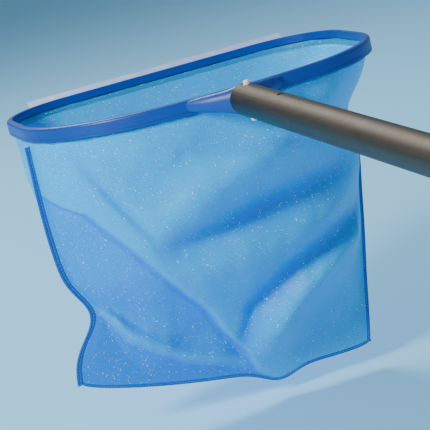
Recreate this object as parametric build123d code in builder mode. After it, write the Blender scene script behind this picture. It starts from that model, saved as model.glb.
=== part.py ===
from build123d import *
import math
import os

# Leaf skimmer net on a telescopic pole. Millimetres, +Z up.
# The origin is on the pole's axis at the front end of the outer tube.
# +Y points to the net's scraper lip, the pole runs along -Y, the bag hangs along -Z.

# --- driving dimensions: net ring ---
ring_length = 362.0       # along X, over the outside
ring_depth = 270.0        # along Y, over the outside
bow_radius = 312.0        # of the bowed side that carries the pole
far_corner_radius = 76.0
near_corner_radius = 133.0
ring_gap = 28.0           # from the tube's front end to the ring
net_tilt = 1.3            # degrees that the net's far side hangs below the pole's line
band_top = 8.5
band_bottom = -5.0
band_wall = 6.0
rim_round = 2.6
parting_groove = 0.3      # width and depth of the line round the outside
parting_rise = 2.4        # of that line above the ring's underside
hem_recess_wall = 3.4     # plastic left behind the hem
hem_recess_drop = 7.5     # from the ring's top to the recess
keeper_groove_wall = 2.0  # plastic left behind the keeper strip
keeper_height = 2.4
keeper_drop = 3.6         # from the recess's top to the keeper's middle

# --- driving dimensions: boss and stub ---
tube_gap = 0.2            # between the boss's shoulder and the tube's end
stub_clearance = 0.2      # between the stub and the tube's bore
stub_length = 70.0
stub_wall = 3.1
stub_bore_depth = 12.0    # how far the bore runs on into the boss
boss_root_depth = 5.4     # how far the boss runs into the ring's wall
boss_root_width = 98.0
boss_root_round = 2.0
boss_sections = ((0.42, 66.0, 17.5), (0.80, 42.0, 23.5))  # share of the gap, width, height
boss_roundness = 0.48     # corner radius of those sections, as a share of their height
boss_mouth_roundness = 0.499

# --- driving dimensions: pole ---
tube_diameter = 30.0
tube_wall = 1.2
tube_length = 560.0
pin_setback = 13.0        # from the tube's end to the locking buttons
second_hole_setback = 107.0
hole_diameter = 7.0
inner_gap = 0.8           # between the tubes, where the bush runs
inner_wall = 1.1
inner_setback = 130.0     # from the outer tube's front end to the inner tube, pushed in
bush_clearance = 0.1
bush_length = 36.0
bush_rim = 4.0            # length of its rim in front of the inner tube
plug_wall = 2.0           # of the bush and the cap inside the inner tube

# --- driving dimensions: locking buttons and spring ---
button_diameter = 6.4
button_rise = 4.0         # above the tube
button_roundness = 0.35   # of its crown, as a share of its diameter
flange_diameter = 9.0
flange_depth = 6.0        # from the tube's outside to the buttons' flanges
flange_thickness = 1.2
spring_strip = 0.6
spring_width = 5.0
spring_length = 46.0

# --- driving dimensions: pole lock, grip and cap ---
fit_gap = 0.05            # glued and pressed sleeves
run_gap = 0.1             # running fits
lock_body_step = 3.5      # the lock's parts and the grip stand this far out of the tube they hold
thread_step = 2.0
collar_step = 6.5
grip_step = 3.5
cap_step = 2.5
lock_cover = 34.0         # length of the lock body over the outer tube
lock_nose = 22.0          # its threaded length behind the tube
collar_overlap = 17.0
collar_length = 40.0
collar_wall_end = 5.0
collar_ribs = 16
collar_rib_radius = 1.6
collar_rib_margin = 2.0   # plain length at each end of the ribs
collar_play = 0.3         # between the collar and what it turns on
collar_end_play = 1.0     # along the pole
collet_wall = 2.4
collet_slot = 3.0
lock_chamfer = 1.0
grip_length = 112.0
grip_setback = 26.0       # behind the collar
grip_rings = 14
grip_ring_margin = 10.0   # plain length at each end of the grooves
grip_groove_width = 2.4
grip_groove_depth = 1.0
cap_length = 18.0
cap_plug = 22.0
cap_round = 3.0
tab_length = 17.0
tab_root = 8.0            # of the tab inside the cap
tab_thickness = 8.0
tab_width = 20.0
hang_hole = 8.0
hang_hole_drop = 1.0      # from the tab's middle towards the cap

# --- driving dimensions: net bag ---
hem_thickness = 1.3
hem_overhang = 3.0        # below the ring
bag_drop = 292.0          # from the ring's underside to the bag's foot
bag_wall = 1.2
bag_foot_length = 304.0
bag_foot_depth = 13.0
bag_foot_shift = -36.0    # the foot hangs a little to one side
bag_foot_bow = 0.4
bag_foot_roundness = 0.42  # of the foot's ends, as a share of its depth
bag_taper = 1.25          # above 1 the bag narrows later
bag_levels = 5
bag_clearance = 0.3
seam_width = 7.0
seam_thickness = 1.0
side_seam_reach = 80.0    # from the bag's middle plane to where a side seam may start

# --- driving dimensions: scraper lip ---
lip_length = 284.0
lip_reach = 15.0
lip_thickness = 1.6
lip_rise = 6.5            # of its edge above its foot
lip_foot_height = 6.0
lip_drop = 1.0            # of its foot below the ring's top
rivet_count = 5
rivet_head = 5.0
rivet_shank = 2.6
rivet_clearance = 0.1
rivet_margin = 12.0       # from the lip's end to the last rivet
rivet_head_height = 1.2
rivet_head_round = 0.8

# --- places that follow from them ---
ring_near = ring_gap
ring_far = ring_gap + ring_depth
ring_centre_y = ring_gap + ring_depth / 2
band_height = band_top - band_bottom
band_middle = (band_top + band_bottom) / 2
recess_top = band_top - hem_recess_drop
keeper_z = recess_top - keeper_drop
tube_radius = tube_diameter / 2
tube_bore = tube_radius - tube_wall
stub_radius = tube_bore - stub_clearance
stub_bore = stub_radius - stub_wall
inner_radius = tube_bore - inner_gap
flange_top = tube_radius - flange_depth
lock_radius = tube_radius + lock_body_step
thread_radius = tube_radius + thread_step
collar_radius = tube_radius + collar_step
grip_radius = inner_radius + grip_step
cap_radius = inner_radius + cap_step
lock_front = tube_length - lock_cover
lock_rear = tube_length + lock_nose
collar_front = lock_rear - collar_overlap
collar_rear = collar_front + collar_length
grip_front = collar_rear + grip_setback
inner_rear = grip_front + grip_length
hem_inset = hem_recess_wall + hem_thickness
hem_bottom = band_bottom - hem_overhang
bag_inset = hem_inset + bag_clearance
mouth_radius = bow_radius - bag_inset
mouth_bow = mouth_radius - math.sqrt(mouth_radius**2 - (ring_length / 2 - bag_inset) ** 2)

os.makedirs("parts", exist_ok=True)


def save(name, part):
    part.label = name
    export_step(part, f"parts/{name}.step")


def tilted(part):
    """The net's pieces are drawn level, then tilted about the pole's front end."""
    return part.rotate(Axis.X, -net_tilt)


def ring_outline(inset, z):
    """The D-shaped outline: a straight far side, a bowed near side, four rounded corners."""
    half = ring_length / 2
    corner_y = ring_near + bow_radius - math.sqrt(bow_radius**2 - half**2)
    with BuildSketch(Plane.XY.offset(z)) as outline:
        with BuildLine():
            Polyline((-half, corner_y), (-half, ring_far), (half, ring_far), (half, corner_y))
            ThreePointArc((half, corner_y), (0, ring_near), (-half, corner_y))
        make_face()
        fillet(outline.vertices().group_by(Axis.Y)[0], near_corner_radius)
        fillet(outline.vertices().group_by(Axis.Y)[-1], far_corner_radius)
        if inset:
            offset(amount=-inset)
    return outline.sketch


def across(y):
    """A plane square to the pole, seen from the front, at this y."""
    return Plane.XZ.offset(-y)


def tube_between(front, rear, outer, inner):
    """A round sleeve on the pole's axis, from y = -front to y = -rear."""
    with BuildPart() as sleeve:
        with BuildSketch(across(-front)):
            Circle(outer)
            Circle(inner, mode=Mode.SUBTRACT)
        extrude(amount=rear - front)
    return sleeve.part


# --- the ring with its boss and stub ---
with BuildPart() as ring_band:
    extrude(ring_outline(0, band_bottom), amount=band_height)
    fillet(ring_band.edges().group_by(Axis.Z)[-1], rim_round)
    with BuildPart(mode=Mode.PRIVATE) as parting_line:
        extrude(ring_outline(0, band_bottom + parting_rise), amount=parting_groove)
        inside = ring_outline(parting_groove, band_bottom + parting_rise)
        extrude(inside, amount=parting_groove, mode=Mode.SUBTRACT)
    add(parting_line, mode=Mode.SUBTRACT)

with BuildPart() as ring_inside:
    extrude(ring_outline(band_wall, band_bottom), amount=band_height)
    extrude(ring_outline(hem_recess_wall, band_bottom), amount=recess_top - band_bottom)
    extrude(ring_outline(keeper_groove_wall, keeper_z - keeper_height / 2), amount=keeper_height)

with BuildPart() as frame_ring:
    add(tilted(ring_band.part))
    with BuildSketch(across(ring_near + boss_root_depth)):
        with Locations((0, band_middle)):
            RectangleRounded(boss_root_width, band_height - 2 * rim_round, boss_root_round)
    for share, width, height in boss_sections:
        with BuildSketch(across(ring_near * (1 - share))):
            with Locations((0, band_middle * (1 - share))):
                RectangleRounded(width, height, boss_roundness * height)
    with BuildSketch(across(tube_gap)):
        RectangleRounded(tube_diameter, tube_diameter, boss_mouth_roundness * tube_diameter)
    loft()
    add(tilted(ring_inside.part), mode=Mode.SUBTRACT)
    with BuildSketch(across(tube_gap)):
        Circle(stub_radius)
    extrude(amount=tube_gap + stub_length)
    with BuildSketch(across(stub_bore_depth)):
        Circle(stub_bore)
    extrude(amount=stub_bore_depth + stub_length, mode=Mode.SUBTRACT)
    with BuildSketch(Plane.XY):
        with Locations((0, -pin_setback)):
            Circle(hole_diameter / 2)
    extrude(amount=tube_radius, both=True, mode=Mode.SUBTRACT)
save("frame_ring", frame_ring.part)

# --- the strip that keeps the hem in its groove, and the hem ---
with BuildPart() as hem_keeper_strip:
    strip_low = keeper_z - keeper_height / 2 + fit_gap
    strip_height = keeper_height - 2 * fit_gap
    extrude(ring_outline(keeper_groove_wall + fit_gap, strip_low), amount=strip_height)
    extrude(ring_outline(hem_recess_wall, strip_low), amount=strip_height, mode=Mode.SUBTRACT)
save("hem_keeper_strip", tilted(hem_keeper_strip.part))

with BuildPart() as hem_band:
    hem_height = recess_top - fit_gap - hem_bottom
    extrude(ring_outline(hem_recess_wall + fit_gap, hem_bottom), amount=hem_height)
    extrude(ring_outline(hem_inset, hem_bottom), amount=hem_height, mode=Mode.SUBTRACT)
save("hem_band", tilted(hem_band.part))


# --- the bag: two panels and the bound seams between them ---
def bag_section(level, grow):
    """The bag's outline at a level from 0, at the hem, to 1, at the foot."""
    ease = level**bag_taper
    length = (1 - ease) * (ring_length - 2 * bag_inset) + ease * bag_foot_length + 2 * grow
    depth = (1 - ease) * (ring_depth - 2 * bag_inset) + ease * bag_foot_depth + 2 * grow
    foot_radius = bag_foot_roundness * (bag_foot_depth + 2 * grow)
    near_radius = (1 - level) * (near_corner_radius - bag_inset) + level * foot_radius
    far_radius = (1 - level) * (far_corner_radius - bag_inset) + level * foot_radius
    bow = (1 - level) * mouth_bow + level * bag_foot_bow
    shift = ease * bag_foot_shift
    near_y = ring_centre_y - depth / 2
    corner_y = near_y + bow
    with BuildSketch(Plane.XY.offset(band_bottom - level * bag_drop - bag_clearance)) as section:
        with BuildLine():
            Polyline(
                (shift - length / 2, corner_y),
                (shift - length / 2, near_y + depth),
                (shift + length / 2, near_y + depth),
                (shift + length / 2, corner_y),
            )
            ThreePointArc((shift + length / 2, corner_y), (shift, near_y), (shift - length / 2, corner_y))
        make_face()
        fillet(section.vertices().group_by(Axis.Y)[0], near_radius)
        fillet(section.vertices().group_by(Axis.Y)[-1], far_radius)
    return section.sketch


def bag_body(grow, foot):
    """The filled bag, its outline grown by this much and its foot moved down by this much."""
    with BuildPart() as body:
        sections = [bag_section(step / (bag_levels - 1), grow) for step in range(bag_levels)]
        sections[-1] = sections[-1].moved(Location((0, 0, -foot)))
        loft(sections, ruled=True)
    return body.part


bag_outside = bag_body(0.0, 0.0)
bag_inside = bag_body(-bag_wall, -bag_wall)
bag_seams = bag_body(seam_thickness, seam_thickness)
mid_y = ring_centre_y
reach = 2 * (ring_length + ring_depth)

for name, side in (("bag_front_panel", -1), ("bag_back_panel", 1)):
    with BuildPart() as panel:
        add(bag_outside)
        add(bag_inside, mode=Mode.SUBTRACT)
        with Locations((0, mid_y + side * reach / 2, 0)):
            Box(reach, reach, reach, mode=Mode.INTERSECT)
    save(name, tilted(panel.part))

for name, side in (("side_seam_left", -1), ("side_seam_right", 1)):
    with BuildPart() as seam:
        add(bag_seams)
        add(bag_outside, mode=Mode.SUBTRACT)
        with Locations((side * reach / 2, mid_y, band_bottom - bag_drop / 2)):
            seam_drop = bag_drop - 2 * bag_foot_depth
            Box(reach - 2 * side_seam_reach, seam_width, seam_drop, mode=Mode.INTERSECT)
    save(name, tilted(seam.part))

with BuildPart() as bottom_seam:
    foot_z = band_bottom - bag_drop - bag_clearance
    with Locations((bag_foot_shift, mid_y, foot_z - seam_thickness)):
        Box(bag_foot_length - bag_foot_depth, seam_width, 2 * seam_thickness)
save("bottom_seam", tilted(bottom_seam.part))

# --- the scraper lip and its rivets on the straight far side ---
lip_foot_top = band_top - rim_round - lip_drop
lip_foot_low = lip_foot_top - lip_foot_height
rivet_z = (lip_foot_top + lip_foot_low) / 2
rivet_pitch = (lip_length - 2 * rivet_margin) / (rivet_count - 1)
rivet_spots = GridLocations(rivet_pitch, 1, rivet_count, 1)
with BuildPart() as scraper_lip:
    with BuildSketch(Plane.YZ):
        with BuildLine():
            Polyline(
                (ring_far + fit_gap, lip_foot_low),
                (ring_far + lip_thickness, lip_foot_low),
                (ring_far + lip_thickness, lip_foot_top - lip_thickness),
                (ring_far + lip_reach, lip_foot_top + lip_rise - lip_thickness),
                (ring_far + lip_reach, lip_foot_top + lip_rise),
                (ring_far + fit_gap, lip_foot_top),
                close=True,
            )
        make_face()
    extrude(amount=lip_length / 2, both=True)
    with BuildSketch(across(ring_far)):
        with Locations((0, rivet_z)):
            with rivet_spots:
                Circle(rivet_shank / 2 + rivet_clearance)
    extrude(amount=-2 * lip_thickness, mode=Mode.SUBTRACT)
save("scraper_lip", tilted(scraper_lip.part))

with BuildPart() as lip_rivets:
    with BuildSketch(across(ring_far + fit_gap)):
        with Locations((0, rivet_z)):
            with rivet_spots:
                Circle(rivet_shank / 2)
    extrude(amount=-(lip_thickness - fit_gap))
    with BuildSketch(across(ring_far + lip_thickness)):
        with Locations((0, rivet_z)):
            with rivet_spots:
                Circle(rivet_head / 2)
    extrude(amount=-rivet_head_height)
    fillet(lip_rivets.edges().group_by(Axis.Y)[-1], rivet_head_round)
save("lip_rivets", tilted(lip_rivets.part))

# --- the V clip: two buttons on a bent spring strip inside the stub ---
flange_low = flange_top - flange_thickness
for name, side in (("clip_button_top", 1), ("clip_button_bottom", -1)):
    with BuildPart() as button:
        spot = Location((0, -pin_setback, 0), (0 if side > 0 else 180, 0, 0))
        with BuildSketch(Plane(spot).offset(flange_low)):
            Circle(flange_diameter / 2)
        extrude(amount=flange_thickness)
        with BuildSketch(Plane(spot).offset(flange_top)):
            Circle(button_diameter / 2)
        extrude(amount=tube_radius + button_rise - flange_top)
        dome_edges = button.edges().filter_by(GeomType.CIRCLE).sort_by(Axis.Z)
        fillet(dome_edges[-1] if side > 0 else dome_edges[0], button_roundness * button_diameter)
    save(name, button.part)

leg_rear = pin_setback + spring_length
leg_front = pin_setback - flange_diameter / 2
leg_middle = -(leg_rear + leg_front) / 2
with BuildPart() as clip_spring:
    with BuildSketch(Plane.YZ):
        with Locations((-leg_rear, 0)):
            Circle(flange_low)
            Circle(flange_low - spring_strip, mode=Mode.SUBTRACT)
        with Locations((-pin_setback - spring_length / 2, 0)):
            Rectangle(spring_length, 2 * flange_low, mode=Mode.SUBTRACT)
        for side in (1, -1):
            with Locations((leg_middle, side * (flange_low - spring_strip / 2))):
                Rectangle(leg_rear - leg_front, spring_strip)
    extrude(amount=spring_width / 2, both=True)
save("clip_spring", clip_spring.part)

# --- the tubes ---
with BuildPart() as outer_tube:
    add(tube_between(0, tube_length, tube_radius, tube_bore))
    with BuildSketch(Plane.XY):
        with Locations((0, -pin_setback), (0, -second_hole_setback)):
            Circle(hole_diameter / 2)
    extrude(amount=2 * tube_radius, both=True, mode=Mode.SUBTRACT)
save("outer_tube", outer_tube.part)

with BuildPart() as inner_tube:
    add(tube_between(inner_setback, inner_rear, inner_radius, inner_radius - inner_wall))
save("inner_tube", inner_tube.part)

with BuildPart() as guide_bush:
    bush_front = inner_setback - bush_rim
    bush_plug = inner_radius - inner_wall - fit_gap
    add(tube_between(bush_front, inner_setback, tube_bore - bush_clearance, bush_plug - plug_wall))
    add(tube_between(inner_setback, inner_setback + bush_length, bush_plug, bush_plug - plug_wall))
save("guide_bush", guide_bush.part)

# --- the twist lock ---
with BuildPart() as lock_body:
    add(tube_between(lock_front, lock_rear - lock_nose, lock_radius, tube_radius + fit_gap))
    add(tube_between(tube_length, lock_rear, thread_radius, inner_radius + collet_wall + 2 * run_gap))
    shoulder = lock_body.edges().filter_by(GeomType.CIRCLE).group_by(Axis.Y)[-1]
    chamfer(shoulder.sort_by(SortBy.RADIUS)[-1], lock_chamfer)
save("lock_body", lock_body.part)

with BuildPart() as lock_collet:
    collet_front = tube_length + collar_end_play
    collet_rear = collar_rear - collar_wall_end - collar_end_play
    collet_bore = inner_radius + run_gap
    add(tube_between(collet_front, collet_rear, collet_bore + collet_wall, collet_bore))
    with Locations((0, -(tube_length + collar_rear) / 2, inner_radius)):
        Box(collet_slot, collar_rear, inner_radius, mode=Mode.SUBTRACT)
save("lock_collet", lock_collet.part)

with BuildPart() as lock_collar:
    skirt_rear = lock_rear + collar_end_play
    seat_rear = collar_rear - collar_wall_end
    add(tube_between(collar_front, skirt_rear, collar_radius, thread_radius + collar_play))
    add(tube_between(skirt_rear, seat_rear, collar_radius, collet_bore + collet_wall + collar_play))
    add(tube_between(seat_rear, collar_rear, collar_radius, inner_radius + collar_play))
    with BuildSketch(across(-collar_front - collar_rib_margin)):
        with PolarLocations(collar_radius, collar_ribs):
            Circle(collar_rib_radius)
    extrude(amount=collar_length - 2 * collar_rib_margin, mode=Mode.SUBTRACT)
save("lock_collar", lock_collar.part)

# --- the grip and the end cap ---
with BuildPart() as hand_grip:
    add(tube_between(grip_front, grip_front + grip_length, grip_radius, inner_radius + fit_gap))
    ring_pitch = (grip_length - 2 * grip_ring_margin) / (grip_rings - 1)
    for ring in range(grip_rings):
        start = grip_front + grip_ring_margin + ring * ring_pitch - grip_groove_width / 2
        floor = grip_radius - grip_groove_depth
        groove = tube_between(start, start + grip_groove_width, 2 * grip_radius, floor)
        add(groove, mode=Mode.SUBTRACT)
save("hand_grip", hand_grip.part)

with BuildPart() as end_cap:
    add(tube_between(inner_rear - cap_plug, inner_rear, bush_plug, bush_plug - plug_wall))
    with BuildSketch(across(-inner_rear)):
        Circle(cap_radius)
    extrude(amount=cap_length)
    fillet(end_cap.edges().group_by(Axis.Y)[0], cap_round)
    cap_rear = inner_rear + cap_length
    with BuildSketch(Plane.YZ):
        with Locations((-(cap_rear + (tab_length - tab_root) / 2), 0)):
            SlotOverall(tab_length + tab_root, tab_width)
    extrude(amount=tab_thickness / 2, both=True)
    with BuildSketch(Plane.YZ):
        with Locations((-(cap_rear + tab_length / 2 - hang_hole_drop), 0)):
            Circle(hang_hole / 2)
    extrude(amount=tab_thickness, both=True, mode=Mode.SUBTRACT)
save("end_cap", end_cap.part)
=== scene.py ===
import math
import bmesh
import bpy
from mathutils import Matrix, Vector, noise


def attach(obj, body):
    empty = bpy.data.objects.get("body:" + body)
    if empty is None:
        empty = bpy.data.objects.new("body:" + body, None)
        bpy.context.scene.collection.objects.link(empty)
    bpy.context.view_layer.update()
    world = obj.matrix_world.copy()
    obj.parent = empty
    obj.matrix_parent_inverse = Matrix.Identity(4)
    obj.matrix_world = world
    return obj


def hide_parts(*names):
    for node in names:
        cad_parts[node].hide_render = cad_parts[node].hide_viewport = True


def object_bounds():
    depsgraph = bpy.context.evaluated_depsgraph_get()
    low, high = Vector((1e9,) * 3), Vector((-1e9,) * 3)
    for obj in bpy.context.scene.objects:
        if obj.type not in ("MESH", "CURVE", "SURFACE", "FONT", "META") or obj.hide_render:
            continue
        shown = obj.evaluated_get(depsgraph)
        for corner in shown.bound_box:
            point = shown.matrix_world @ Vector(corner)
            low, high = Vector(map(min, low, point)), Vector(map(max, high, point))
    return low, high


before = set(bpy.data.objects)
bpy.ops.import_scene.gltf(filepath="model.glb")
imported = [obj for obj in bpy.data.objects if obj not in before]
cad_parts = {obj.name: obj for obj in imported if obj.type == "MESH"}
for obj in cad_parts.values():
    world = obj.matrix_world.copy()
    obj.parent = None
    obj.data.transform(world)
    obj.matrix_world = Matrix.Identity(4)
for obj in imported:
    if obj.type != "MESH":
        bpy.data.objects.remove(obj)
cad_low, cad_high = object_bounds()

# The camera looks along the pole to the net from a little above, rolled so that
# the ring rises to the right. A long lens keeps the ring's two sides nearly parallel.
aim = Vector((-0.0258, 0.108, -0.1205))
view_turn, view_height, view_roll = math.radians(-14.34), math.radians(12.84), math.radians(13.45)
view_distance = 1.85
back = Vector((
    math.sin(view_turn) * math.cos(view_height),
    -math.cos(view_turn) * math.cos(view_height),
    math.sin(view_height),
))
camera = bpy.data.objects.new("camera", bpy.data.cameras.new("camera"))
bpy.context.scene.collection.objects.link(camera)
bpy.context.scene.camera = camera
camera.data.lens = 160.0
camera.data.clip_end = 60.0
turn = (-back).to_track_quat("-Z", "Y").to_matrix().to_4x4() @ Matrix.Rotation(-view_roll, 4, "Z")
camera.matrix_world = Matrix.Translation(aim + view_distance * back) @ turn


# The floor is a plain pale sheet under the bag's foot. A soft lamp stands on the left, with a
# weaker one behind and a faint one on the right, under a pale sky.
def linear(code):
    """An sRGB hex colour as linear red, green, blue and alpha."""
    channels = [int(code[i:i + 2], 16) / 255 for i in (1, 3, 5)]
    return [c / 12.92 if c <= 0.04045 else ((c + 0.055) / 1.055) ** 2.4 for c in channels] + [1.0]


def add(tree, kind, settings=None, links=None):
    """Adds a node. Settings fill its inputs or properties, and links join outputs to its inputs."""
    made = tree.nodes.new(kind)
    properties = [key for key in settings or {} if isinstance(key, str) and key not in made.inputs]
    for key in properties:
        setattr(made, key, settings[key])
    for key, value in (settings or {}).items():
        if key not in properties:
            made.inputs[key].default_value = value
    for key, source in (links or {}).items():
        tree.links.new(source, made.inputs[key])
    return made


def new_material(name):
    """An empty material with its node tree and its Principled shader."""
    made = bpy.data.materials.new(name)
    made.use_nodes = True
    return made, made.node_tree, made.node_tree.nodes["Principled BSDF"]


def new_piece(name, mesh, material, body="net_and_pole"):
    """Links a finished mesh as a piece that rides on a body."""
    piece = bpy.data.objects.new(name, mesh)
    bpy.context.scene.collection.objects.link(piece)
    mesh.materials.clear()
    mesh.materials.append(material)
    if body:
        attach(piece, body)
    return piece


floor_material, tree, shader = new_material("pale painted floor")
floor_spots = add(tree, "ShaderNodeTexNoise", {"Scale": 3.0, "Detail": 2.0})
floor_tint = add(tree, "ShaderNodeMix", {"data_type": "RGBA", 6: linear("#8FD8FF"), 7: linear("#9ADEFF")},
                 {0: floor_spots.outputs["Fac"]})
tree.links.new(floor_tint.outputs[2], shader.inputs["Base Color"])
shader.inputs["Roughness"].default_value = 0.8
floor_reach, floor_drop = 14.0, 0.03
floor_mesh = bpy.data.meshes.new("floor")
floor_z = cad_low.z - floor_drop
corners = [(x * floor_reach, y * floor_reach, floor_z) for x, y in ((-1, -1), (1, -1), (1, 1), (-1, 1))]
floor_mesh.from_pydata(corners, [], [(0, 1, 2, 3)])
floor = new_piece("floor", floor_mesh, floor_material, body=None)

lamps = (
    ("key_lamp", (-2.2, -1.3, 1.35), 0.6, 104.0, "#FFF8EE"),
    ("fill_lamp", (2.0, -1.6, 0.9), 1.6, 4.0, "#DDEEFF"),
    ("back_lamp", (-0.4, 1.9, 2.0), 1.2, 64.0, "#F6FAFF"),
)
for name, place, size, power, tint in lamps:
    lamp = bpy.data.objects.new(name, bpy.data.lights.new(name, "AREA"))
    bpy.context.scene.collection.objects.link(lamp)
    lamp.data.size = size
    lamp.data.energy = power
    lamp.data.color = linear(tint)[:3]
    lamp.location = place
    lamp.rotation_mode = "QUATERNION"
    lamp.rotation_quaternion = (aim - Vector(place)).to_track_quat("-Z", "Y")
sky = bpy.data.worlds.new("sky")
bpy.context.scene.world = sky
sky.use_nodes = True
sky.node_tree.nodes["Background"].inputs["Color"].default_value = linear("#C4E6FB")
sky.node_tree.nodes["Background"].inputs["Strength"].default_value = 0.36


# The ring is one moulding in deep-blue polypropylene, with the flared boss that takes the
# pole. Moulding gives an even, slightly glossy skin with faint flow marks and fine scuffs.
MM = 0.001


def drifting_tint(tree, shader, place, patch, detail, low, high):
    """Lets the base colour drift between two tints in patches of a real size. Returns the drift."""
    drift = add(tree, "ShaderNodeTexNoise", {"Scale": 1 / patch, "Detail": detail},
                {"Vector": place.outputs["Object"]})
    tint = add(tree, "ShaderNodeMix", {"data_type": "RGBA", 6: linear(low), 7: linear(high)},
               {0: drift.outputs["Fac"]})
    tree.links.new(tint.outputs[2], shader.inputs["Base Color"])
    return drift


ring_material, tree, shader = new_material("moulded blue polypropylene")
flow_mark, scuff = 45 * MM, 0.9 * MM
place = add(tree, "ShaderNodeTexCoord")
drifting_tint(tree, shader, place, flow_mark, 3.0, "#003890", "#0047A6")
stretch = add(tree, "ShaderNodeMapping", {"Scale": (1.0, 1.0, 7.0)}, {"Vector": place.outputs["Object"]})
scuffs = add(tree, "ShaderNodeTexNoise", {"Scale": 0.05 / scuff, "Detail": 6.0, "Roughness": 0.7},
             {"Vector": stretch.outputs["Vector"]})
gloss = add(tree, "ShaderNodeMapRange", {"To Min": 0.24, "To Max": 0.48}, {"Value": scuffs.outputs["Fac"]})
tree.links.new(gloss.outputs["Result"], shader.inputs["Roughness"])
dents = add(tree, "ShaderNodeBump", {"Strength": 0.08, "Distance": 0.2 * MM},
            {"Height": scuffs.outputs["Fac"]})
tree.links.new(dents.outputs["Normal"], shader.inputs["Normal"])
shader.inputs["IOR"].default_value = 1.49


def dress(name, material):
    """Gives a CAD node its material."""
    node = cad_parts[name]
    if not node.material_slots:
        node.data.materials.append(material)
    for held in node.material_slots:
        held.material = material


dress("frame_ring", ring_material)
dress("hem_keeper_strip", ring_material)

# The pole is drawn aluminium tube with a champagne anodised skin. Drawing leaves fine lines
# along its length, which stretch the highlights round it, and handling dulls it in patches.
tube_material, tree, shader = new_material("drawn anodised aluminium")
draw_line, dull_patch = 0.5 * MM, 25 * MM
place = add(tree, "ShaderNodeTexCoord")
along = add(tree, "ShaderNodeMapping", {"Scale": (1.0, 0.004, 1.0)}, {"Vector": place.outputs["Object"]})
lines = add(tree, "ShaderNodeTexNoise", {"Scale": 0.22 / draw_line, "Detail": 5.0, "Roughness": 0.75},
            {"Vector": along.outputs["Vector"]})
streaks = add(tree, "ShaderNodeMapRange", {"From Min": 0.2, "From Max": 0.8},
              {"Value": lines.outputs["Fac"]})
tube_tint = add(tree, "ShaderNodeMix", {"data_type": "RGBA", 6: linear("#4A4238"), 7: linear("#685C4D")},
                {0: streaks.outputs["Result"]})
tree.links.new(tube_tint.outputs[2], shader.inputs["Base Color"])
dull = add(tree, "ShaderNodeTexNoise", {"Scale": 1 / dull_patch, "Detail": 4.0},
           {"Vector": place.outputs["Object"]})
mixed = add(tree, "ShaderNodeMath", {"operation": "ADD"},
            {0: lines.outputs["Fac"], 1: dull.outputs["Fac"]})
satin = add(tree, "ShaderNodeMapRange", {"From Min": 0.6, "From Max": 1.4, "To Min": 0.44, "To Max": 0.6},
            {"Value": mixed.outputs["Value"]})
tree.links.new(satin.outputs["Result"], shader.inputs["Roughness"])
drawn = add(tree, "ShaderNodeBump", {"Strength": 0.12, "Distance": 0.1 * MM},
            {"Height": lines.outputs["Fac"]})
tree.links.new(drawn.outputs["Normal"], shader.inputs["Normal"])
shader.inputs["Metallic"].default_value = 1.0
dress("outer_tube", tube_material)
dress("inner_tube", tube_material)

# The clip's two round buttons are moulded off-white nylon, worn a little grey, on a bent
# strip of stainless spring steel inside the stub.
button_material, tree, shader = new_material("moulded off-white nylon")
worn_patch = 3 * MM
place = add(tree, "ShaderNodeTexCoord")
drifting_tint(tree, shader, place, worn_patch, 4.0, "#D9D4C8", "#F7F4EC")
shader.inputs["Roughness"].default_value = 0.35
shader.inputs["Subsurface Weight"].default_value = 0.1
shader.inputs["Subsurface Scale"].default_value = 1.0 * MM
for name in ("clip_button_top", "clip_button_bottom", "lock_collet"):
    dress(name, button_material)

spring_material, tree, shader = new_material("rolled stainless strip")
roll_grain = 0.6 * MM
place = add(tree, "ShaderNodeTexCoord")
grain = add(tree, "ShaderNodeTexNoise", {"Scale": 1 / roll_grain, "Detail": 3.0},
            {"Vector": place.outputs["Object"]})
rolled = add(tree, "ShaderNodeMapRange", {"To Min": 0.2, "To Max": 0.34}, {"Value": grain.outputs["Fac"]})
tree.links.new(rolled.outputs["Result"], shader.inputs["Roughness"])
shader.inputs["Base Color"].default_value = linear("#B9BBBD")
shader.inputs["Metallic"].default_value = 1.0
dress("clip_spring", spring_material)

# The scraper lip is a flexible strip of milky, slightly lilac vinyl. It glows where light
# comes through it, and its edge is scuffed by the pool's wall.
lip_material, tree, shader = new_material("milky flexible vinyl")
milk_patch = 18 * MM
place = add(tree, "ShaderNodeTexCoord")
milk = drifting_tint(tree, shader, place, milk_patch, 4.0, "#9FB2EA", "#C6CCF6")
haze = add(tree, "ShaderNodeMapRange", {"To Min": 0.72, "To Max": 0.9}, {"Value": milk.outputs["Fac"]})
tree.links.new(haze.outputs["Result"], shader.inputs["Alpha"])
shader.inputs["Roughness"].default_value = 0.42
dress("scraper_lip", lip_material)
dress("lip_rivets", button_material)

# The twist lock's body and collar, the bush inside the tube and the end cap are moulded in
# a matt, finely textured blue nylon that grips well with wet hands.
lock_material, tree, shader = new_material("textured blue nylon")
faded_patch, spark_grain = 20 * MM, 0.8 * MM
place = add(tree, "ShaderNodeTexCoord")
drifting_tint(tree, shader, place, faded_patch, 2.0, "#04509E", "#0A62B8")
spark = add(tree, "ShaderNodeTexNoise", {"Scale": 1 / spark_grain, "Detail": 3.0},
            {"Vector": place.outputs["Object"]})
texture = add(tree, "ShaderNodeBump", {"Strength": 0.25, "Distance": 0.15 * MM},
              {"Height": spark.outputs["Fac"]})
tree.links.new(texture.outputs["Normal"], shader.inputs["Normal"])
shader.inputs["Roughness"].default_value = 0.52
for name in ("lock_body", "lock_collar", "guide_bush", "end_cap"):
    dress(name, lock_material)

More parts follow.
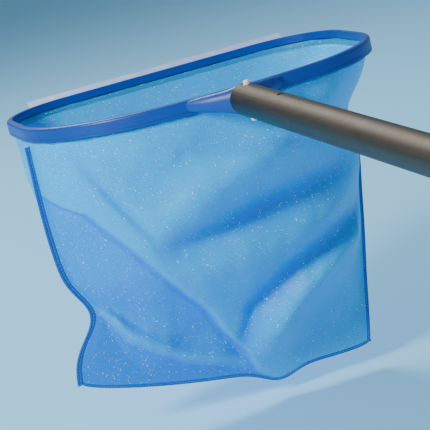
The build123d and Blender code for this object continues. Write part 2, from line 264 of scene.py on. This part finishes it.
# The hand grip is a soft vinyl sleeve, ribbed round and dipped in a darker blue.
grip_material, tree, shader = new_material("soft dipped vinyl")
pore = 1.5 * MM
place = add(tree, "ShaderNodeTexCoord")
skin = drifting_tint(tree, shader, place, pore, 5.0, "#0A2F66", "#10407F")
pores = add(tree, "ShaderNodeBump", {"Strength": 0.3, "Distance": 0.2 * MM},
            {"Height": skin.outputs["Fac"]})
tree.links.new(pores.outputs["Normal"], shader.inputs["Normal"])
shader.inputs["Roughness"].default_value = 0.62
dress("hand_grip", grip_material)


# The bag is two panels of fine sky-blue nylon mesh, wide at the ring and narrow at the foot.
# It hangs wet and slack, so broad folds run across it from the upper right to the lower left,
# its left side is drawn in low down and its right side high up.
# The net hangs a little below the pole's line, so its pieces are built level and then tilted.
ring_length, ring_depth, bow_radius = 362 * MM, 270 * MM, 312 * MM
far_corner, near_corner = 76 * MM, 133 * MM
ring_near = 28 * MM
hem_inset = 4.9 * MM
hem_low, hem_high = -8.0 * MM, 0.9 * MM
half_length = ring_length / 2
ring_far = ring_near + ring_depth
middle_y = (ring_near + ring_far) / 2
net_tilt = Matrix.Rotation(math.radians(-1.3), 4, "X")


def arc(centre, radius, start, end, steps):
    """Points along an arc, angles in radians."""
    turns = [start + (end - start) * i / steps for i in range(steps)]
    return [(centre[0] + radius * math.cos(a), centre[1] + radius * math.sin(a)) for a in turns]


def ring_outline(inset, steps=48):
    """The ring's outline at an inset, from the left middle round by the bowed side."""
    bow_centre = (0.0, ring_near + bow_radius)
    corner_x = half_length - near_corner
    corner_y = bow_centre[1] - math.sqrt((bow_radius - near_corner) ** 2 - corner_x**2)
    join = math.atan2(corner_y - bow_centre[1], corner_x)
    far_x, far_y = half_length - far_corner, ring_far - far_corner
    near, far, side = near_corner - inset, far_corner - inset, half_length - inset
    points = [(-side, middle_y)]
    points += arc((-corner_x, corner_y), near, math.pi, math.pi - join, steps)
    points += arc(bow_centre, bow_radius - inset, math.pi - join, 2 * math.pi + join, 2 * steps)
    points += arc((corner_x, corner_y), near, 2 * math.pi + join, 2 * math.pi, steps)
    points += [(side, corner_y), (side, middle_y)]
    points += arc((far_x, far_y), far, 0.0, math.pi / 2, steps)
    points += arc((-far_x, far_y), far, math.pi / 2, math.pi, steps)
    points += [(-side, far_y), (-side, middle_y)]
    return points


def evenly(points, count):
    """The same path with its points evenly spaced."""
    reach = [0.0]
    for a, b in zip(points, points[1:]):
        reach.append(reach[-1] + math.dist(a, b))
    made, at = [], 0
    for i in range(count):
        want = reach[-1] * i / (count - 1)
        while at < len(points) - 2 and reach[at + 1] < want:
            at += 1
        share = (want - reach[at]) / max(reach[at + 1] - reach[at], 1e-9)
        share = min(max(share, 0.0), 1.0)
        made.append(tuple(a + (b - a) * share for a, b in zip(points[at], points[at + 1])))
    return made, reach[-1]


def hump(x, middle, width):
    """A smooth rise to 1 at the middle."""
    return math.exp(-((x - middle) / width) ** 2)


foot_middle, foot_half = -35 * MM, 150 * MM
mouth_z = -5.3 * MM
left_drop, right_drop = 248 * MM, 296 * MM
bag_drop = (left_drop + right_drop) / 2
panel_columns, panel_rows = 170, 110
taper = 1.2

# Each fold is a crest through points of the panel, as shares of its width and drop, with the
# crest's height and half-width. A crease is the same with the cloth pushed in.
front_folds = (
    (((0.70, 0.08), (0.60, 0.20), (0.46, 0.29), (0.29, 0.43)), 29 * MM, 38 * MM),
    (((0.90, 0.38), (0.71, 0.51), (0.50, 0.57), (0.30, 0.60)), 21 * MM, 34 * MM),
    (((0.97, 0.58), (0.81, 0.66), (0.66, 0.75), (0.57, 0.93)), 27 * MM, 25 * MM),
    (((0.00, 0.70), (0.16, 0.82), (0.36, 0.91), (0.58, 0.96)), 14 * MM, 10 * MM),
    (((0.10, 0.06), (0.40, 0.10)), 6 * MM, 20 * MM),
)
front_creases = (
    (((0.78, 0.34), (0.56, 0.40), (0.36, 0.47)), 12 * MM, 18 * MM),
    (((0.90, 0.52), (0.66, 0.62), (0.54, 0.76), (0.53, 0.92)), 12 * MM, 16 * MM),
    (((0.17, 0.06), (0.23, 0.21), (0.30, 0.42)), 6 * MM, 7 * MM),
    (((0.40, 0.13), (0.70, 0.20), (0.95, 0.15)), 4 * MM, 10 * MM),
)
back_folds = (
    (((0.20, 0.15), (0.62, 0.58)), 9 * MM, 34 * MM),
    (((0.45, 0.12), (0.88, 0.60)), 8 * MM, 30 * MM),
    (((0.15, 0.50), (0.55, 0.98)), 9 * MM, 30 * MM),
)
back_creases = (
    (((0.32, 0.10), (0.80, 0.75)), 6 * MM, 12 * MM),
    (((0.70, 0.35), (0.92, 0.85)), 5 * MM, 12 * MM),
)
# The lower left of the front panel has fallen back against the other panel. Its edge is one
# long crease, given as pairs of drop and width, and the slack under the last fold starts at
# the second line, given as pairs of width and drop.
slack_edge = ((0.0, -0.3), (0.17, -0.05), (0.22, 0.02), (0.30, 0.17), (0.48, 0.26), (0.68, 0.35),
              (0.81, 0.44), (0.92, 0.54), (1.0, 0.60))
foot_edge = ((0.0, 0.72), (0.16, 0.84), (0.36, 0.93), (0.58, 0.98), (1.0, 1.1))
slack_depth = 11 * MM
slack_softness, foot_softness = 9 * MM, 7 * MM
# These set how deep the blue gets. Where the front panel lies doubled on the other one and below the
# foot's fold, the blue is partly the doubled cloth and partly painted shade. Along the inside of the long
# crease it is a thin painted shadow. The next line darkens every crease, which is painted shade.
slack_blue_and_shade, foot_blue_and_shade, crease_shadow = 0.62, 0.95, 0.4
crease_shade = 70.0      # share of the deep tint per metre that a crease is pushed in
least_apart = 1.0 * MM     # between the middle plane and either panel
# The sides are drawn in by soft humps, each with its depth, its place down and its half-width,
# and so is the back panel. The foot hangs in one broad belly with a tip in it.
left_draws = ((24 * MM, 0.75, 0.12), (5 * MM, 0.6, 0.2))
right_draws = ((20 * MM, 0.18, 0.11), (9 * MM, 0.4, 0.25), (4 * MM, 0.75, 0.2))
far_depth, far_place, far_reach = 34 * MM, 0.24, 0.16
foot_belly, foot_tip = 16 * MM, 11 * MM


def at(line, x):
    """The value of a line of pairs at x."""
    for (x0, y0), (x1, y1) in zip(line, line[1:]):
        if x <= x1:
            return y0 + (y1 - y0) * (x - x0) / (x1 - x0)
    return line[-1][1]


def smooth(x):
    """A soft step from 0 to 1."""
    x = min(max(x, 0.0), 1.0)
    return x * x * (3 - 2 * x)


def fold_at(across, down, width, folds):
    """How far the folds lift the cloth at a point, given as shares of its width and drop. A fold
    is highest along its crest and fades towards both ends of it."""
    lift = 0.0
    here = Vector((across * width, down * bag_drop))
    for crest, height, reach in folds:
        spots = [Vector((a * width, d * bag_drop)) for a, d in crest]
        away, best = 1.0, 0.0
        for i, (a, b) in enumerate(zip(spots, spots[1:])):
            share = min(max((here - a).dot(b - a) / (b - a).length_squared, 0.0), 1.0)
            gap = (here - (a + (b - a) * share)).length
            if gap < away:
                away, best = gap, (i + share) / (len(spots) - 1)
        fade = 0.3 + 0.7 * math.sin(math.pi * (0.12 + 0.76 * best))
        lift += height * fade / math.cosh(1.6 * away / reach) ** 1.3
    return lift


def drawn_in(down, draws):
    """How far a side is drawn in at a drop."""
    return sum(depth * hump(down, middle, reach) for depth, middle, reach in draws)


def far_draw(across, down):
    """How far the back panel is drawn in below the ring. It is nothing at the seams, and 27 / 4
    makes it the whole depth at its most, two thirds of the way across."""
    return far_depth * hump(down, far_place, far_reach) * (27 / 4) * across**2 * (1 - across)


def foot_sag(across):
    """How far the foot hangs below the line between its corners."""
    belly = foot_belly * max(math.sin(math.pi * across), 0.0) ** 0.6
    return belly + foot_tip * hump(across, 0.66, 0.08)


def slack_share(across, down, width):
    """How far the front panel has fallen back from 0 to 1, and how deep its blue is there.
    It is deeper where the panel lies doubled on the other one, and that blue is partly painted shade.
    There is also a painted shadow along the crease and a painted highlight on the crest of the foot's
    fold.
    """
    inside = (at(slack_edge, down) - across) * width
    beside = smooth(inside / slack_softness + 0.5)
    # Painted shadow: a thin dark line just inside the long crease.
    shadow = crease_shadow * hump(inside, 4 * MM, 3.5 * MM)
    under = (down - at(foot_edge, across)) * bag_drop
    below = smooth(under / foot_softness + 0.5)
    # Painted highlight: the cloth is painted lighter along the crest of the foot's fold.
    crest = hump(under, -6 * MM, 5 * MM)
    return max(beside, below), max(slack_blue_and_shade * beside * (1 - 0.6 * crest) + shadow, foot_blue_and_shade * below)


def panel_grid(outline, side, folds, creases):
    """The cloth's points in rows from the hem to the foot, and how deep its blue is at each. That blue
    holds the doubled cloth's deeper blue together with painted shade in the creases and under the foot's
    fold, and a painted highlight on that fold's crest.
    side is -1 on the pole's side, 1 on the lip's."""
    top, width = evenly(outline, panel_columns + 1)
    rows, blue_depths_and_shade = [], []
    for r in range(panel_rows + 1):
        down = r / panel_rows
        ease = down**taper
        row = []
        for c in range(panel_columns + 1):
            across = c / panel_columns
            foot_x = foot_middle + foot_half * (2 * across - 1)
            x = top[c][0] * (1 - ease) + foot_x * ease
            y = top[c][1] * (1 - ease) + middle_y * ease
            drop = left_drop + (right_drop - left_drop) * across + foot_sag(across) * down
            z = mouth_z - down * drop
            left_in = drawn_in(down, left_draws) * (1 - across) ** 1.5
            right_in = drawn_in(down, right_draws) * across**1.5
            x += left_in - right_in
            if side > 0:
                x -= far_draw(across, down)
            span = width * (1 - ease) + 2 * foot_half * ease
            # The hem, the foot and the seams hold the cloth, so its folds die away there.
            held = min(1.0, 7 * down) * min(1.0, 5 * (1 - down) + 0.2)
            held *= min(1.0, 10 * across, 10 * (1 - across))
            crease = fold_at(across, down, span, creases)
            lift = fold_at(across, down, span, folds) - crease
            slack, depth = slack_share(across, down, span) if side < 0 else (0.0, 0.0)
            ripple = noise.noise(Vector((across * 9, down * 6, 3.7 * side))) * 3.5 * MM
            ripple += noise.noise(Vector((across * 26, down * 15, 9.1 * side))) * 1.0 * MM
            y += side * held * (lift + ripple - slack_depth * slack)
            apart = least_apart * min(1.0, 3 * held)
            y = middle_y + side * max(side * (y - middle_y), apart)
            z += held * 0.2 * lift
            row.append(net_tilt @ Vector((x, y, z)))
            # Painted shade: each crease darkens the blue by how far it is pushed in.
            blue_depths_and_shade.append(min(1.0, depth + crease_shade * crease))
        rows.append(row)
    return rows, width, blue_depths_and_shade


def cloth_mesh(name, rows, flip, size, blue_depths_and_shade=None):
    """A sheet from rows of points, with a map of the cloth's own width and drop in metres.
    flip turns its faces round, so that they point outwards."""
    columns = len(rows[0])
    verts = [p for row in rows for p in row]
    faces = []
    for r in range(len(rows) - 1):
        for c in range(columns - 1):
            first = r * columns + c
            quad = [first, first + 1, first + columns + 1, first + columns]
            faces.append(quad if flip else quad[::-1])
    mesh = bpy.data.meshes.new(name)
    mesh.from_pydata(verts, [], faces)
    weave = mesh.uv_layers.new(name="weave")
    for loop in mesh.loops:
        r, c = divmod(loop.vertex_index, columns)
        weave.data[loop.index].uv = (size[0] * c / (columns - 1), size[1] * r / (len(rows) - 1))
    deep_blue_and_shade = mesh.attributes.new("deep_blue_and_shade", "FLOAT", "POINT")
    for point, value in zip(deep_blue_and_shade.data, blue_depths_and_shade or [0.0] * len(verts)):
        point.value = value
    for face in mesh.polygons:
        face.use_smooth = True
    return mesh


# The mesh is woven from clear blue nylon threads. Between them light passes, so the far panel
# and the ground show through. Where the cloth turns edge-on its threads close up, and where it
# lies on the other panel its blue is deeper. That deeper blue is also painted shade in the
# creases, along the long crease and under the foot's fold, with a painted highlight on that
# fold's crest.
# The real threads lie about 0.6 mm apart, drawn here at 1.4 mm so that the weave shows.
thread_pitch, cloud_patch, glint_grain = 1.4 * MM, 30 * MM, 1.6 * MM
# The colour of the painted glints of water drops.
painted_glint_tint = "#F2FFF4"


def mesh_cloth(name, thin, deep_blue_and_shade, hole_share, thread_share):
    """A translucent woven material: its two tints, and how opaque its holes and threads are."""
    made, tree, shader = new_material(name)
    own = add(tree, "ShaderNodeUVMap", {"uv_map": "weave"})
    axes = add(tree, "ShaderNodeSeparateXYZ", None, {0: own.outputs["UV"]})
    threads = []
    for axis in ("X", "Y"):
        wave = add(tree, "ShaderNodeMath", {"operation": "MULTIPLY", 1: math.pi / thread_pitch},
                   {0: axes.outputs[axis]})
        swing = add(tree, "ShaderNodeMath", {"operation": "SINE"}, {0: wave.outputs[0]})
        threads.append(add(tree, "ShaderNodeMath", {"operation": "ABSOLUTE"}, {0: swing.outputs[0]}))
    # The product is 0 along every thread and 1 in the middle of each hole.
    holes = add(tree, "ShaderNodeMath", {"operation": "MULTIPLY"},
                {0: threads[0].outputs[0], 1: threads[1].outputs[0]})
    cover_range = {"From Min": 0.2, "From Max": 0.8, "To Min": thread_share, "To Max": hole_share}
    cover = add(tree, "ShaderNodeMapRange", cover_range, {"Value": holes.outputs[0]})
    place = add(tree, "ShaderNodeTexCoord")
    cloud = add(tree, "ShaderNodeTexNoise", {"Scale": 1 / cloud_patch, "Detail": 4.0},
                {"Vector": place.outputs["Object"]})
    edge = add(tree, "ShaderNodeLayerWeight", {"Blend": 0.35})
    turned = add(tree, "ShaderNodeMath", {"operation": "MULTIPLY_ADD", 1: 0.35},
                 {0: edge.outputs["Facing"], 2: cover.outputs["Result"]})
    # This attribute holds the doubled cloth's deeper blue together with painted shade and a painted
    # highlight. It darkens the tint and closes the holes.
    doubled_and_shaded = add(tree, "ShaderNodeAttribute", {"attribute_name": "deep_blue_and_shade"})
    patchy = add(tree, "ShaderNodeMath", {"operation": "MULTIPLY_ADD", 1: 0.25, "use_clamp": True},
                 {0: doubled_and_shaded.outputs["Fac"], 2: turned.outputs[0]})
    mottle_and_shade = add(tree, "ShaderNodeMath", {"operation": "MULTIPLY_ADD", 1: 0.3, "use_clamp": True},
                 {0: cloud.outputs["Fac"], 2: doubled_and_shaded.outputs["Fac"]})
    tint = add(tree, "ShaderNodeMix", {"data_type": "RGBA", 6: linear(thin), 7: linear(deep_blue_and_shade)},
               {0: mottle_and_shade.outputs[0]})
    # Painted highlights: a few small bright specks in the colour stand in for the glints of water drops
    # held in the wet mesh.
    glint_noise = add(tree, "ShaderNodeTexNoise", {"Scale": 1 / glint_grain, "Detail": 1.0},
              {"Vector": place.outputs["Object"]})
    painted_glints = add(tree, "ShaderNodeMapRange", {"From Min": 0.71, "From Max": 0.74},
                {"Value": glint_noise.outputs["Fac"]})
    cover_all = add(tree, "ShaderNodeMath", {"operation": "MAXIMUM"},
                    {0: painted_glints.outputs["Result"], 1: patchy.outputs[0]})
    tree.links.new(cover_all.outputs[0], shader.inputs["Alpha"])
    lit = add(tree, "ShaderNodeMix", {"data_type": "RGBA", 7: linear(painted_glint_tint)},
              {0: painted_glints.outputs["Result"], 6: tint.outputs[2]})
    tree.links.new(lit.outputs[2], shader.inputs["Base Color"])
    relief = add(tree, "ShaderNodeBump", {"Strength": 0.35, "Distance": 0.3 * MM},
                 {"Height": holes.outputs[0]})
    tree.links.new(relief.outputs["Normal"], shader.inputs["Normal"])
    shader.inputs["Roughness"].default_value = 0.38
    shader.inputs["Specular IOR Level"].default_value = 0.25
    return made


bag_material = mesh_cloth("woven sky-blue nylon mesh", "#00BEFF", "#0084E8", 0.72, 0.9)
mouth_outline = ring_outline(hem_inset + 0.6 * MM)
half_way = max(i for i, p in enumerate(mouth_outline) if abs(p[1] - middle_y) < 1e-6 and p[0] > 0)
front_outline = mouth_outline[:half_way + 1]
back_outline = mouth_outline[half_way:][::-1]
cloth_thickness = 0.5 * MM
panels = {}
for name, outline, side, folds, creases in (
    ("bag_front_mesh", front_outline, -1, front_folds, front_creases),
    ("bag_back_mesh", back_outline, 1, back_folds, back_creases),
):
    rows, width, blue_depths_and_shade = panel_grid(outline, side, folds, creases)
    panel = new_piece(name, cloth_mesh(name, rows, side < 0, (width, bag_drop), blue_depths_and_shade), bag_material)
    thick = panel.modifiers.new("thickness", "SOLIDIFY")
    thick.thickness = cloth_thickness
    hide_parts("bag_front_panel" if side < 0 else "bag_back_panel")
    panels[name] = (panel, width, rows)

# The hem is the same mesh folded double and sewn, held inside the ring by the keeper strip.
# Doubled over the blue plastic it looks teal, and its edges wander a little.
hem_material = mesh_cloth("doubled nylon mesh hem", "#1C9ACC", "#0C80B4", 0.8, 0.97)
hem_columns, hem_steps = 480, 8
hem_width, hem_thickness = 10 * MM, 0.8 * MM
hem_path, hem_length = evenly(ring_outline(hem_inset - 0.5 * MM), hem_columns + 1)
hem_rows = []
for r in range(hem_steps + 1):
    down = r / hem_steps
    row = []
    for i, (x, y) in enumerate(hem_path):
        angle = 2 * math.pi * i / hem_columns
        swell = Vector((math.cos(angle), math.sin(angle), 0.0)) * 7
        wander = noise.noise(swell + Vector((0, 0, 5))) * 1.1 * MM
        z = hem_high - 0.8 * MM + wander * (1 - down) - down * (hem_high - hem_low - 1.4 * MM)
        z += down * noise.noise(swell * 1.7 + Vector((0, 0, 11))) * 1.3 * MM
        inward = 0.7 * MM * math.sin(math.pi * down) + noise.noise(swell * 3) * 0.3 * MM
        centre = Vector((0, middle_y, z))
        point = Vector((x, y, z))
        row.append(net_tilt @ (point + (centre - point).normalized() * inward))
    hem_rows.append(row)
hem = new_piece("hem_mesh", cloth_mesh("hem_mesh", hem_rows, True, (hem_length, hem_width)), hem_material)
thick = hem.modifiers.new("thickness", "SOLIDIFY")
thick.thickness = hem_thickness
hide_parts("hem_band")

# The side and bottom seams are bound: a tape folded over both panels' edges and sewn down.
# It stands out from the bag as a flat fin with two soft ridges, a darker blue than the mesh.
seam_material, tree, shader = new_material("folded nylon seam tape")
rib_pitch, damp_patch = 1.5 * MM, 12 * MM
own = add(tree, "ShaderNodeUVMap", {"uv_map": "weave"})
axes = add(tree, "ShaderNodeSeparateXYZ", None, {0: own.outputs["UV"]})
ribs = add(tree, "ShaderNodeMath", {"operation": "MULTIPLY", 1: math.pi / rib_pitch},
           {0: axes.outputs["Y"]})
rib_wave = add(tree, "ShaderNodeMath", {"operation": "SINE"}, {0: ribs.outputs[0]})
place = add(tree, "ShaderNodeTexCoord")
drifting_tint(tree, shader, place, damp_patch, 3.0, "#0052AE", "#0068C4")
ribbed = add(tree, "ShaderNodeBump", {"Strength": 0.3, "Distance": 0.2 * MM},
             {"Height": rib_wave.outputs[0]})
tree.links.new(ribbed.outputs["Normal"], shader.inputs["Normal"])
shader.inputs["Roughness"].default_value = 0.5
shader.inputs["Alpha"].default_value = 0.9

tape_grip, tape_thickness, tape_ridge = 1.5 * MM, 0.8 * MM, 0.6 * MM
tape_columns = 12


def tape_mesh(name, path, away, front, tape_width):
    """A closed tape along a path. away points out of the cloth and front out of the tape's face."""
    section = []
    for i in range(tape_columns + 1):
        share = i / tape_columns
        ridge = tape_ridge * abs(math.sin(2 * math.pi * share))
        section.append((share * tape_width, tape_thickness / 2 + ridge))
    ring = section + [(w, -h) for w, h in reversed(section)]
    verts, faces = [], []
    for point in path:
        for w, h in ring:
            verts.append(point + away * (w - tape_grip) + front * h)
    count = len(ring)
    for s in range(len(path) - 1):
        for k in range(count):
            a, b = s * count + k, s * count + (k + 1) % count
            faces.append((a, b, b + count, a + count))
    faces.append(tuple(range(count))[::-1])
    faces.append(tuple((len(path) - 1) * count + k for k in range(count)))
    mesh = bpy.data.meshes.new(name)
    mesh.from_pydata(verts, [], faces)
    weave = mesh.uv_layers.new(name="weave")
    for loop in mesh.loops:
        s, k = divmod(loop.vertex_index, count)
        weave.data[loop.index].uv = (ring[k][0], s * bag_drop / (len(path) - 1))
    tidy = bmesh.new()
    tidy.from_mesh(mesh)
    bmesh.ops.recalc_face_normals(tidy, faces=tidy.faces)
    tidy.to_mesh(mesh)
    tidy.free()
    for face in mesh.polygons:
        face.use_smooth = True
    return mesh


front_rows = panels["bag_front_mesh"][2]
tape_start = 3
left_width, right_width = 7 * MM, 4 * MM
left_away, right_away = Vector((-1, -0.3, 0)).normalized(), Vector((1, -0.3, 0)).normalized()
# The foot's tape also closes the lower ends of the other two.
foot_path = [front_rows[-1][0] + left_away * (left_width - tape_grip), *front_rows[-1],
             front_rows[-1][-1] + right_away * (right_width - tape_grip)]
foot_away, foot_width = Vector((0, -0.2, -1)).normalized(), 3.5 * MM
left_path = [row[0] for row in front_rows[tape_start:]]
right_path = [row[-1] for row in front_rows[tape_start:]]
seams = (
    ("left_seam_tape", "side_seam_left", left_path, left_away, left_width),
    ("right_seam_tape", "side_seam_right", right_path, right_away, right_width),
    ("foot_seam_tape", "bottom_seam", foot_path, foot_away, foot_width),
)


def tape_front(away):
    """The way a tape's face looks: towards the pole, square to the way it stands out."""
    pole_side = Vector((0, -1, 0))
    return (pole_side - away * away.dot(pole_side)).normalized()


for name, node, path, away, tape_width in seams:
    tape = new_piece(name, tape_mesh(name, path, away, tape_front(away), tape_width), seam_material)
    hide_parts(node)

# Two rows of pale blue polyester thread hold the hem round its lower edge, and one row runs
# along each tape. Each stitch is a short rod, and one group of nodes lays them along all the lines.
thread_material, tree, shader = new_material("twisted polyester thread")
twist = 0.5 * MM
place = add(tree, "ShaderNodeTexCoord")
drifting_tint(tree, shader, place, twist, 2.0, "#2A8FD6", "#63B9EC")
shader.inputs["Roughness"].default_value = 0.6

stitching = bpy.data.node_groups.new("stitching", "GeometryNodeTree")
stitching.interface.new_socket("Lines", in_out="INPUT", socket_type="NodeSocketGeometry")
thread_inputs = []
for label, value in (("Pitch", 3.2 * MM), ("Stitch length", 2.3 * MM), ("Thread radius", 0.22 * MM)):
    socket = stitching.interface.new_socket(label, in_out="INPUT", socket_type="NodeSocketFloat")
    thread_inputs.append((socket, value))
stitching.interface.new_socket("Stitches", in_out="OUTPUT", socket_type="NodeSocketGeometry")
given = add(stitching, "NodeGroupInput")
lines = add(stitching, "GeometryNodeMeshToCurve", None, {"Mesh": given.outputs["Lines"]})
spots = add(stitching, "GeometryNodeCurveToPoints", {"mode": "LENGTH"},
            {"Curve": lines.outputs["Curve"], "Length": given.outputs["Pitch"]})
rod = add(stitching, "GeometryNodeMeshCylinder", {"Vertices": 6},
          {"Radius": given.outputs["Thread radius"], "Depth": given.outputs["Stitch length"]})
laid = add(stitching, "FunctionNodeAlignRotationToVector", {"axis": "Z"},
           {"Vector": spots.outputs["Tangent"]})
uneven = add(stitching, "FunctionNodeRandomValue", {"data_type": "FLOAT", 2: 0.85, 3: 1.1, "Seed": 7})
sewn = add(stitching, "GeometryNodeInstanceOnPoints", None,
           {"Points": spots.outputs["Points"], "Instance": rod.outputs["Mesh"],
            "Rotation": laid.outputs["Rotation"], "Scale": uneven.outputs[1]})
real = add(stitching, "GeometryNodeRealizeInstances", None, {"Geometry": sewn.outputs["Instances"]})
dressed = add(stitching, "GeometryNodeSetMaterial", {"Material": thread_material},
              {"Geometry": real.outputs["Geometry"]})
add(stitching, "NodeGroupOutput", None, {"Stitches": dressed.outputs["Geometry"]})

stitch_lift = tape_thickness / 2 + 0.25 * MM
stitch_lines = [hem_rows[-3], hem_rows[-2]]
for name, node, path, away, tape_width in seams:
    to_middle, to_face = away * (tape_width / 2 - tape_grip), tape_front(away) * stitch_lift
    stitch_lines.append([point + to_middle + to_face for point in path])
line_points, line_edges = [], []
for line in stitch_lines:
    start = len(line_points)
    line_points += line
    line_edges += [(start + i, start + i + 1) for i in range(len(line) - 1)]
line_mesh = bpy.data.meshes.new("stitch_lines")
line_mesh.from_pydata(line_points, line_edges, [])
holder = bpy.data.objects.new("stitch_lines", line_mesh)
bpy.context.scene.collection.objects.link(holder)
sewing = holder.modifiers.new("stitching", "NODES")
sewing.node_group = stitching
for socket, value in thread_inputs:
    sewing[socket.identifier] = value
sewn_holder = holder.evaluated_get(bpy.context.evaluated_depsgraph_get())
stitch_mesh = bpy.data.meshes.new_from_object(sewn_holder)
holder.modifiers.remove(sewing)
bpy.data.objects.remove(holder)
stitches = new_piece("stitches", stitch_mesh, thread_material)
